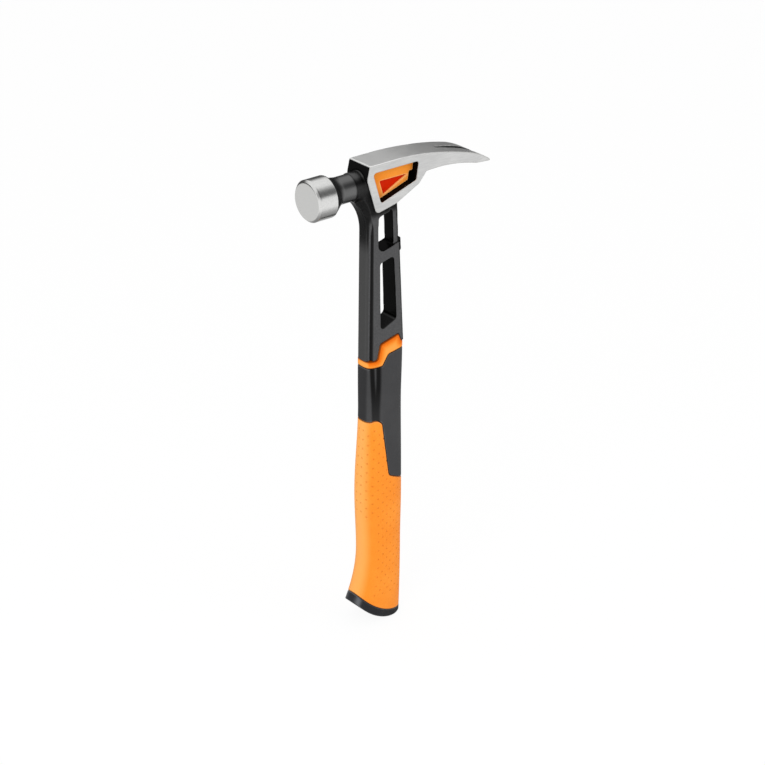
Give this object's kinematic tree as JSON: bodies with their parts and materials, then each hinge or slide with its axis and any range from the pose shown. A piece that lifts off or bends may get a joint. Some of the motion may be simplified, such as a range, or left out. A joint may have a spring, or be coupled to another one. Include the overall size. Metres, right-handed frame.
{
  "type": "finishing hammer",
  "caption": "One-piece steel finishing hammer with a smooth round face, a straight nail-pulling claw, an open skeleton shank and a soft two-colour moulded handle.",
  "frame": {"origin": "centre of the striking face", "axes": "+X from the striking face to the claw, +Z from the butt to the head, +Y across the cheeks"},
  "size_m": [0.1464, 0.0284, 0.343],
  "materials": {
    "forged_steel": "satin",
    "insert_orange": "matte",
    "sleeve_orange": "matte",
    "casing_black": "matte",
    "grip_orange": "matte",
    "cap_black": "matte"
  },
  "bodies": {
    "root": {"hammer_forging": "forged_steel", "cheek_insert_left": "insert_orange", "cheek_insert_right": "insert_orange", "insulation_sleeve": "sleeve_orange", "handle_shell": "casing_black", "grip": "grip_orange", "butt_cap": "cap_black"}
  },
  "joints": []
}
